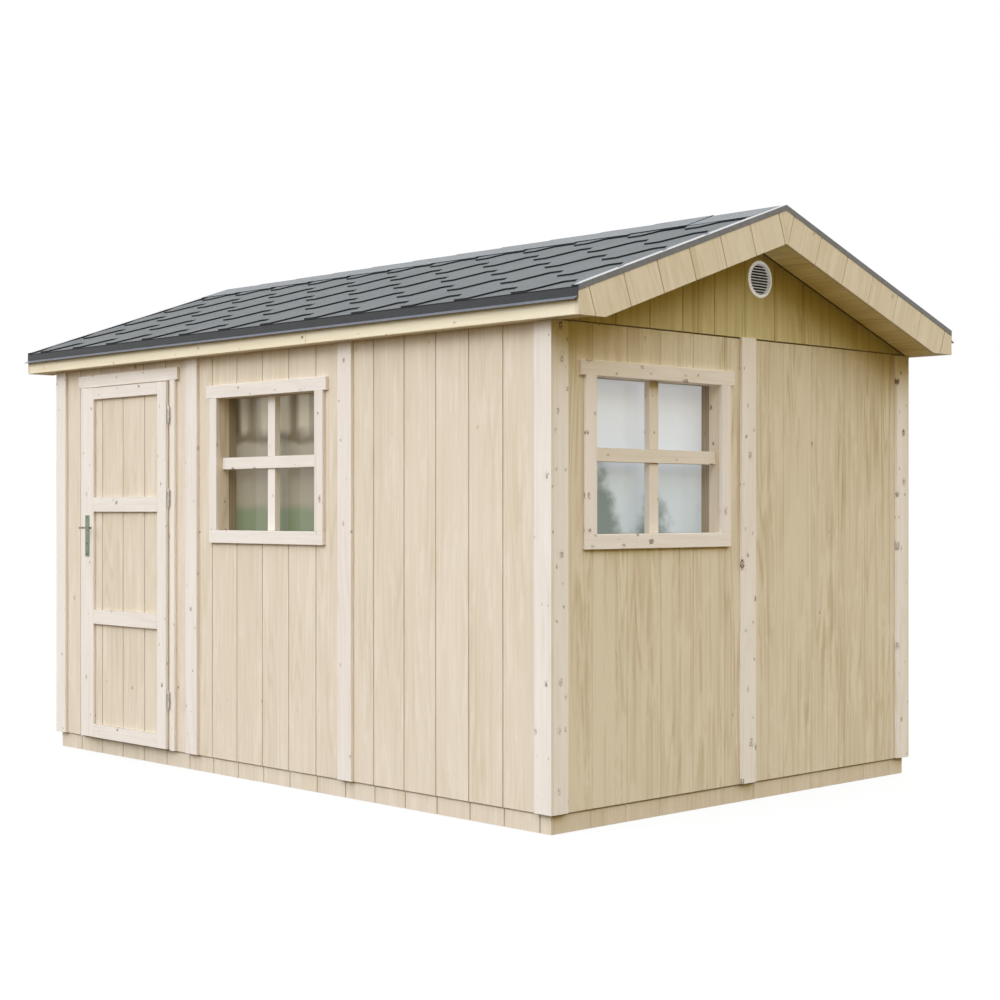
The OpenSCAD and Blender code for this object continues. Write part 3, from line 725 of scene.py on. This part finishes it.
def metal(name, colour, worn, rough, metallic=1.0, painted_glow=0.0):
    """Metal with fine brush lines, a few matt patches and slightly brighter rubbed spots. With an
    emission strength the surface gives off light of its own colour, as painted light."""
    material, shader, s = new_finish(name, Metallic=metallic, Emission_Strength=painted_glow)
    x, y, z = s.place()
    patch = s.noise(x * 40, y * 40, z * 40, detail=3.0)
    brush = s.noise(x * 900, y * 900, z * 60, detail=1.0)
    colour = s.mix(patch.step(0.35, 0.7), rgb(*colour), rgb(*worn))
    dress(
        shader, s, Base_Color=colour, Emission_Color=colour,
        Roughness=patch * 0.18 + brush * 0.1 + (rough - 0.14), Normal=s.bump(brush, 0.12, 0.0003),
    )
    return material


zinc = metal("zinc_hinges", colour=(176, 169, 154), worn=(204, 198, 184), rough=0.32)
# The lock plates' grey-green is a painted reflection of a lawn.
steel_painted_green_reflection = metal("lock_plate_steel", colour=(124, 137, 108), worn=(138, 150, 122), rough=0.45)
satin = metal("lever_steel", colour=(118, 114, 106), worn=(148, 144, 136), rough=0.3)
smooth_copy("hinge_pins", "hinge_pin_halves", zinc, "shed")
smooth_copy("hinge_barrels", "hinge_barrel_halves", zinc, "door")
smooth_copy("lock_plates", "lock_plate_pair", steel_painted_green_reflection, "door")
smooth_copy("door_lever", "lever_handles", satin, "lever")

# Lock fittings: a keyhole below each lever and a screw near each end of the plates. They are dark
# matt steel and stand a hair's breadth off the plate; the keyhole's dark disc is painted shade
# where the hole would be.
SCREW_INSET = 0.012
SCREW_RADIUS = 0.004
KEYHOLE_HEIGHT = 1.085
KEYHOLE_RADIUS = 0.005
FITTING_DEPTH = 0.0012
plate_low, plate_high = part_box("lock_plates")
lower_screw = (plate_low.z + SCREW_INSET, SCREW_RADIUS)
upper_screw = (plate_high.z - SCREW_INSET, SCREW_RADIUS)
keyhole = (KEYHOLE_HEIGHT, KEYHOLE_RADIUS)
fittings = bmesh.new()
for face in (plate_low.y, plate_high.y):
    for height, radius in (lower_screw, upper_screw, keyhole):
        place = Vector(((plate_low.x + plate_high.x) / 2, face, height))
        bmesh.ops.create_cone(
            fittings, cap_ends=True, segments=20, radius1=radius, radius2=radius,
            depth=FITTING_DEPTH,
            matrix=Matrix.Translation(place) @ Matrix.Rotation(math.radians(90), 4, "X"),
        )
# Dark matt steel for the screws, and painted shade for the keyhole.
dark_steel_and_hole_shade = metal("lock_fittings_steel", colour=(60, 60, 54), worn=(74, 74, 68), rough=0.5)
make_piece(fittings, "lock_fittings", [dark_steel_and_hole_shade], body="door")

# Roof timbers: sawn rafters against a ridge board, with a boarded deck nailed over them. The deck
# boards run along the ridge.
roof_low, roof_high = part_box("roof_shingles")
SHINGLE_LAYER = 0.008
DECK_BOARD = 0.095
DECK_NUMBERS = 700
REAR_DECK_NUMBERS = 750
RIDGE_SLACK = 1e-4
PITCH = math.atan((roof_high.z - roof_low.z - SHINGLE_LAYER) / roof_high.y)


def up_slope(y):
    """The way up the roof on the side where y lies."""
    return Vector((0, math.cos(PITCH) * (-1 if y > 0 else 1), math.sin(PITCH)))


def slope_ways(faces):
    y = faces[0].calc_center_median().y
    return up_slope(y), X


def ridge_ways(faces):
    y = faces[0].calc_center_median().y
    return X, up_slope(y)


def on_slope(side):
    """A test for the points of one slope, with those on the ridge."""
    return lambda at: at.y * side > -RIDGE_SLACK


def slope_reach(bm, side, way):
    """How far the points of one slope reach along a way, from the lowest to the highest."""
    along = [v.co.dot(way) for v in bm.verts if v.co.y * side > 0]
    return min(along), max(along)


boards("ridge_beam", [sawn])
boards("rafters", [sawn], ways=slope_ways)
roof_deck = node_copy("roof_deck")
for side in (-1, 1):
    rise = up_slope(side)
    normal = X.cross(rise) * -side
    low, high = slope_reach(roof_deck, side, rise)
    under, _ = slope_reach(roof_deck, side, normal)
    groove(
        roof_deck, rise, places_between(low, high, low, DECK_BOARD), -normal, -under,
        within=on_slope(side), width=0.005, floor=0.001, depth=0.004,
    )
for face in roof_deck.faces:
    middle = face.calc_center_median()
    rise = up_slope(middle.y)
    slot = math.floor(middle.dot(rise) / DECK_BOARD)
    number = slot + (REAR_DECK_NUMBERS if middle.y > 0 else DECK_NUMBERS)
    lay_grain(roof_deck, [face], X, rise, number)
make_piece(roof_deck, "roof_deck_boards", [sawn], ["roof_deck"])

# Eaves: whitewashed fascia boards, butted end to end, with a strip of siding panel underneath as
# the soffit. The wash on the fascias is a warmer one.
FASCIA_JOINT = 0.394
FASCIA_NUMBERS = 640
fascia = node_copy("eave_fascias")
soften(fascia, ARRIS)
for outward in (-Y, Y):
    groove(
        fascia, X, [FASCIA_JOINT], outward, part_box("eave_fascias")[1].y, width=0.003, floor=0.001,
        depth=0.003, dark=0.8,
    )
for face in fascia.faces:
    middle = face.calc_center_median()
    number = FASCIA_NUMBERS + 2 * (middle.y > 0) + (middle.x > FASCIA_JOINT)
    lay_grain(fascia, [face], X, Z, number)
warm_wash = timber("fascia_spruce", pale=(254, 244, 217), deep=(236, 217, 182), **WASHED)
make_piece(fascia, "fascia_boards", [warm_wash], ["eave_fascias"])
boards("eave_soffits", [siding], arris=0.001)

# Gable overhang: barge boards cut across a siding panel, so their grooves stand square to the
# slope, and soffits of the same panel whose grain runs out from the wall, their colour a yellower
# copy of its stain as painted warm shade. A dark line where each soffit meets the wall is a
# painted shadow.
BARGE_FIRST = 0.09
BARGE_NUMBERS = 800
REAR_SHIFT = 40
RIGHT_SHIFT = 80
WALL_SHADOW_LINE = {"width": 0.019, "floor": 0.014, "dark": 1.0}
WALL_LINE_OFFSET = 0.010
barge = node_copy("barge_boards")
_, barge_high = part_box("barge_boards")
for side in (-1, 1):
    rise = up_slope(side)
    low, high = slope_reach(barge, side, rise)
    places = places_between(low, high, low + BARGE_FIRST, GROOVE_PITCH)
    for outward in (-X, X):
        groove(
            barge, rise, places, outward, barge_high.x, within=on_slope(side), width=0.006,
            depth=0.005,
        )
for face in barge.faces:
    middle = face.calc_center_median()
    rise = up_slope(middle.y)
    slot = math.floor((middle.dot(rise) - BARGE_FIRST) / GROOVE_PITCH)
    number = BARGE_NUMBERS + slot + REAR_SHIFT * (middle.y > 0) + RIGHT_SHIFT * (middle.x > 0)
    lay_grain(barge, [face], rise.cross(X), rise, number)
pale_stain = timber(
    "barge_siding", pale=(238, 227, 206), deep=(204, 188, 154), knot=(140, 114, 78), figure=0.3,
    fibre=0.3, bloom=0.22, knots=(0.4, 0.1, 0.12), knot_size=0.006, tone_range=0.1, stripe=0.12,
)
make_piece(barge, "barge_panels", [pale_stain], ["barge_boards"])
soffits = node_copy("gable_soffits")
# A dark groove along each soffit's inner end where it meets the wall: a painted shadow line.
for side in (-1, 1):
    down = X.cross(up_slope(side)) * side
    _, face = slope_reach(soffits, side, down)
    for end in (-X, X):
        groove(
            soffits, end, [gable_high.x + WALL_LINE_OFFSET], down, face,
            within=lambda at: on_slope(side)(at) and at.dot(end) > 0, **WALL_SHADOW_LINE,
        )
for part in loose_parts(soffits):
    lay_grain(soffits, part, *ridge_ways(part), next(board_numbers))
# A yellower copy of the streaked siding: painted warm shade under the overhang.
soffit_painted_shade = timber("soffit_siding", pale=(252, 239, 192), deep=(214, 192, 136), **STREAKED)
make_piece(soffits, "gable_soffit_panels", [soffit_painted_shade], ["gable_soffits"])

# Shingles: bitumen felt strips with blunt hexagonal tabs, coated with grey mineral grains. Five
# courses are nailed up the slope over a plain starter strip. Every course laps the one below, its
# face falls from full height at its foot, and its cut edge shows black.
COURSES = 5
TAB_PITCH = 0.333
TAB_FLAT = 0.082
TAB_START = 0.053
TAB_DRIFT = 0.0045
NOTCH = 0.131
UNDERLAP = 0.02
FELT_LAYER = 0.0115
FELT_SKIN = 0.0005
TRIM_FLANGE = 0.042
TRIM_PRESS = 0.6
END_CLEAR = 0.002
TAB_SLANT = TAB_PITCH / 2 - TAB_FLAT


def granules(name, base, light, dark):
    """Felt coated with mineral grains."""
    material, shader, s = new_finish(name, Specular_IOR_Level=0.25)
    x, y, z = s.place()
    grain = s.noise(x * 520, y * 520, z * 520, detail=2.0, roughness=0.7)
    fleck = s.noise(x * 1100, y * 1100, z * 1100, detail=1.0)
    cloud = s.noise(x * 4, y * 4, z * 4, detail=2.0)
    colour = s.mix(grain.step(0.35, 0.7), rgb(*base), rgb(*light))
    colour = s.mix(fleck.step(0.6, 0.75) * 0.5, colour, rgb(*dark))
    colour = s.mix((cloud - 0.35) * 0.4, colour, rgb(*dark))
    dress(
        shader, s, Base_Color=colour, Roughness=grain * 0.1 + 0.82,
        Normal=s.bump(grain + fleck * 0.5, 0.5, 0.0012),
    )
    return material


def bitumen(name):
    """The black of a fresh cut through felt."""
    material, shader, s = new_finish(name)
    x, y, z = s.place()
    grit = s.noise(x * 300, y * 300, z * 300, detail=2.0)
    dress(
        shader, s, Base_Color=s.mix(grit, rgb(9, 10, 10), rgb(20, 21, 22)),
        Roughness=grit * 0.3 + 0.6, Normal=s.bump(grit, 0.4, 0.001),
    )
    return material


grey_grains = granules(
    "mineral_grains", base=(96, 99, 99), light=(120, 124, 124), dark=(66, 68, 69)
)
black_edge = bitumen("cut_bitumen")
slope_length = roof_high.y / math.cos(PITCH)
course_rise = slope_length / COURSES
strip_length = course_rise + NOTCH + UNDERLAP
half_length = roof_high.x


def slope_place(side):
    """Takes a point given as along the ridge, up the slope and off the deck to its place."""
    eave = Vector((0, roof_high.y * side, roof_low.z))
    level = X * -side
    rise = up_slope(side)
    return Matrix.Translation(eave) @ Matrix((level, rise, level.cross(rise))).transposed().to_4x4()


def felt_height(up):
    """Height of a course's face over the deck, at a distance up from its foot."""
    return max(0.0, FELT_LAYER * (1 - up / strip_length))


def notch_share(x, start):
    """Where the lower edge lies at x: 0 along the foot of a tab, 1 along the top of a notch."""
    offset = (x - start - TAB_FLAT / 2 + TAB_PITCH / 2) % TAB_PITCH - TAB_PITCH / 2
    return min(max((abs(offset) - TAB_FLAT / 2) / TAB_SLANT, 0.0), 1.0)


def felt_strip(bm, low, high, foot, start=None):
    """A strip from low to high up the slope, drawn flat, lying on the course below. Its tabs are
    counted from start, and its ends are pressed down by the gable trim."""
    corners = [(-half_length, low), (half_length, low), (half_length, high), (-half_length, high)]
    quad = bm.faces.new([bm.verts.new((x, up, 0.0)) for x, up in corners])
    geom = [quad, *quad.edges, *quad.verts]
    reach = math.ceil(half_length / TAB_PITCH) + 1
    turns = (0.0, TAB_FLAT, TAB_PITCH / 2, TAB_PITCH / 2 + TAB_FLAT)
    cuts = [TRIM_FLANGE - half_length, half_length - TRIM_FLANGE]
    if start is not None:
        cuts += [start + tab * TAB_PITCH + turn for tab in range(-reach, reach) for turn in turns]
    for x in cuts:
        if abs(x) < half_length - END_CLEAR:
            cut = bmesh.ops.bisect_plane(bm, geom=geom, dist=SNAP, plane_co=(x, 0, 0), plane_no=X)
            geom = cut["geom"]
    under = [g for g in geom if isinstance(g, bmesh.types.BMVert)]
    faces = [g for g in geom if isinstance(g, bmesh.types.BMFace)]
    for v in under:
        if start is not None and v.co.y < low + SNAP:
            v.co.y += NOTCH * notch_share(v.co.x, start)
    grown = bmesh.ops.extrude_face_region(bm, geom=faces)["geom"]
    upper = [g for g in grown if isinstance(g, bmesh.types.BMVert)]
    for v in under:
        v.co.z = felt_height(v.co.y - foot + course_rise)
    for v in upper:
        v.co.z = felt_height(v.co.y - foot) + FELT_SKIN
    for v in under + upper:
        if abs(v.co.x) > half_length - TRIM_FLANGE / 2:
            v.co.z *= TRIM_PRESS


def shingle_slope(side, name):
    """All the felt of one slope."""
    bm = bmesh.new()
    felt_strip(bm, 0.0, strip_length - course_rise, -course_rise)
    for number in range(COURSES):
        foot = number * course_rise
        start = TAB_START + TAB_DRIFT * number
        felt_strip(bm, foot, min(foot + strip_length, slope_length), foot, start)
    bmesh.ops.recalc_face_normals(bm, faces=bm.faces)
    for face in bm.faces:
        face.material_index = 1 if abs(face.normal.z) < LOOKS_UP else 0
    bmesh.ops.transform(bm, matrix=slope_place(side), verts=bm.verts)
    return make_piece(bm, name, [grey_grains, black_edge], ["roof_shingles"])


shingle_slope(-1, "front_shingles")
shingle_slope(1, "rear_shingles")

# Ridge cap: plain pieces of paler felt folded over the ridge. Each laps its neighbour on the left,
# and the last piece before the windowed gable lies under the one beside it, whose black cut end
# shows.
CAP_FELT = 0.007
CAP_LIFT = 0.003
CAP_LAP = 0.05
CAP_PIECES = 11
CAP_LAST_JOINT = 1.681
cap_low, cap_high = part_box("ridge_cap")


def cap_piece(bm, x0, x1, lift0, lift1):
    """One folded piece from x0 to x1, with each end lifted by its own amount."""
    fold = cap_high.z - CAP_LIFT
    edge = fold - math.tan(PITCH) * cap_high.y
    section = [
        (cap_low.y, edge - CAP_FELT), (cap_low.y, edge), (0.0, fold), (cap_high.y, edge),
        (cap_high.y, edge - CAP_FELT), (0.0, fold - CAP_FELT),
    ]
    near = [bm.verts.new((x0, y, z + lift0)) for y, z in section]
    far = [bm.verts.new((x1, y, z + lift1)) for y, z in section]
    for i in range(6):
        bm.faces.new([near[i], near[(i + 1) % 6], far[(i + 1) % 6], far[i]])
    for end in (near, far):
        bm.faces.new([end[0], end[1], end[2], end[5]])
        bm.faces.new([end[2], end[3], end[4], end[5]])


cap = bmesh.new()
cap_run = (CAP_LAST_JOINT - cap_low.x) / CAP_PIECES
for number in range(CAP_PIECES):
    left = cap_low.x + number * cap_run
    last = number == CAP_PIECES - 1
    right = left + cap_run + (0.0 if last else CAP_LAP)
    cap_piece(cap, left, right, CAP_LIFT, CAP_LIFT if last else 0.0)
cap_piece(cap, CAP_LAST_JOINT - CAP_LAP, cap_high.x, 0.0, 0.0)
bmesh.ops.recalc_face_normals(cap, faces=cap.faces)
for face in cap.faces:
    face.material_index = 0 if face.normal.z > LOOKS_UP else 1
cap_grains = granules("cap_grains", base=(116, 119, 120), light=(140, 143, 145), dark=(92, 95, 96))
make_piece(cap, "ridge_strips", [cap_grains, black_edge], ["ridge_cap"])

# Edge trims: folded sheet metal. The eave drip edge is painted dark grey and kicks out in a lip
# over the fascia, whose paler grey is a painted highlight where it faces up. The gable trim is a
# light grey angle with a glossy flange over the shingles, and the flange's paler grey is a painted
# highlight too.
LIP_DROP = 0.012


def sheet(node, name, paints, is_second):
    """A CAD node of folded sheet in two colours, the second a painted highlight."""
    bm = node_copy(node)
    for face in bm.faces:
        face.material_index = 1 if is_second(face) else 0
    return make_piece(bm, name, paints, [node])


drip_low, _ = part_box("eave_drip_edges")
dark_paint = metal(
    "dark_grey_sheet", colour=(38, 38, 37), worn=(45, 45, 44), rough=0.45, metallic=0.0
)
lip_painted_highlight = metal(
    "lip_sheet_painted_highlight", colour=(108, 112, 120), worn=(118, 122, 130), rough=0.4, metallic=0.0
)
rake_paint = metal(
    "light_grey_sheet", colour=(112, 112, 114), worn=(122, 122, 124), rough=0.4, metallic=0.0
)
flange_painted_highlight = metal(
    "flange_sheet_painted_highlight", colour=(150, 151, 154), worn=(160, 161, 164), rough=0.15, metallic=0.0
)
# The lip's paler grey is a painted highlight.
sheet(
    "eave_drip_edges", "drip_edges", [dark_paint, lip_painted_highlight],
    lambda face: face.calc_center_median().z < drip_low.z + LIP_DROP,
)
# The flange's paler grey is a painted highlight.
sheet(
    "rake_trims", "gable_edge_trims", [rake_paint, flange_painted_highlight],
    lambda face: face.normal.z > LOOKS_UP,
)

# Gable vents: moulded rounds with slanting slats, pushed into the gable panel's hole. The white
# plastic gives off some light of its own as painted light, and the slats and the collar behind the
# flange are a greyer copy of it as painted shade.
COLLAR_REACH = 0.069
# White plastic that gives off light of its own: painted light.
flange_plastic_painted_glow = metal(
    "white_plastic", colour=(236, 237, 238), worn=(228, 229, 231), rough=0.45, metallic=0.0,
    painted_glow=0.36,
)
slats_painted_shade = metal(
    "slats_painted_shade", colour=(206, 207, 206), worn=(190, 191, 190), rough=0.5, metallic=0.0,
    painted_glow=0.28,
)
vents = smooth_copy("gable_vents", "round_vents", flange_plastic_painted_glow, "shed", arris=0.0004)
vents.data.materials.append(slats_painted_shade)
vent_middle = sum(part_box("gable_vents"), Vector()) / 2
# Faces inside the collar take the greyer plastic, as painted shade.
for face in vents.data.polygons:
    corners = [vents.data.vertices[v].co - vent_middle for v in face.vertices]
    if max(math.hypot(c.y, c.z) for c in corners) < COLLAR_REACH:
        face.material_index = 1

# The stage: a pale floor that keeps the shed's shadow and white all round, lit by a sky that is
# warm low down and by a soft cool lamp from the front left.
FLOOR_SIZE = 400.0
FLOOR_DROP = 0.001
FLOOR_PALE = (0.8, 0.8, 0.8, 1)
FLOOR_BOUNCE = (0.07, 0.045, 0.006, 1)
WHITE = (1, 1, 1, 1)
SHADOW_SHARE = 0.12
SKY_LEVEL = 2.22
floor_mesh = bmesh.new()
bmesh.ops.create_grid(floor_mesh, x_segments=1, y_segments=1, size=FLOOR_SIZE / 2)
mesh = bpy.data.meshes.new("floor")
floor_mesh.to_mesh(mesh)
floor_mesh.free()
floor = bpy.data.objects.new("floor", mesh)
floor.location.z = -FLOOR_DROP
bpy.context.scene.collection.objects.link(floor)


def seen_directly(s):
    """1 for what the camera sees, straight or by way of metal and glass."""
    ray = s.node("ShaderNodeLightPath").socket.node.outputs
    seen = [Shade(s.tree, ray[f"Is {kind} Ray"]) for kind in ("Camera", "Glossy", "Transmission")]
    return s.maths("MINIMUM", seen[0] + seen[1] + seen[2], 1.0)


floor_paint, shader, s = new_finish("pale_floor", Roughness=1.0, Specular_IOR_Level=0.0)
seen = seen_directly(s)
dress(shader, s, Base_Color=s.mix(seen, FLOOR_BOUNCE, FLOOR_PALE))
white = s.node("ShaderNodeEmission", {}, {"Color": WHITE, "Strength": 1.0})
lit = Shade(s.tree, shader.outputs[0])
mixed = s.node("ShaderNodeMixShader", {}, {0: seen * (1 - SHADOW_SHARE), 1: lit, 2: white})
s.tree.links.new(mixed.socket, s.tree.nodes["Material Output"].inputs["Surface"])
mesh.materials.append(floor_paint)

world = bpy.data.worlds.new("white_room")
bpy.context.scene.world = world
world.use_nodes = True
s = Shade(world.node_tree)
seen = seen_directly(s)
background = world.node_tree.nodes["Background"].inputs
height = s.node("ShaderNodeTexCoord", output=0).parts()[2]
stops = [
    (0.0, (0.11, 0.07, 0.0, 1)), (0.28, (0.23, 0.16, 0.0, 1)), (0.48, (0.98, 0.95, 0.8, 1)),
    (0.7, (0.98, 1.0, 1.1, 1)), (1.0, (0.56, 0.575, 0.62, 1)),
]
sky = s.node("ShaderNodeValToRGB", {"stops": stops}, {"Fac": height})
s.tree.links.new(s.mix(seen, sky, WHITE).socket, background["Color"])
s.tree.links.new((seen * (1 - SKY_LEVEL) + SKY_LEVEL).socket, background["Strength"])

lamp = bpy.data.objects.new("daylight", bpy.data.lights.new("daylight", "SUN"))
lamp.data.energy = 1.46
lamp.data.color = (0.642, 0.755, 1.0)
lamp.data.angle = math.radians(50)
lamp.rotation_euler = (math.radians(68), 0, math.radians(-8))
bpy.context.scene.collection.objects.link(lamp)
bpy.context.scene.view_settings.view_transform = "Standard"
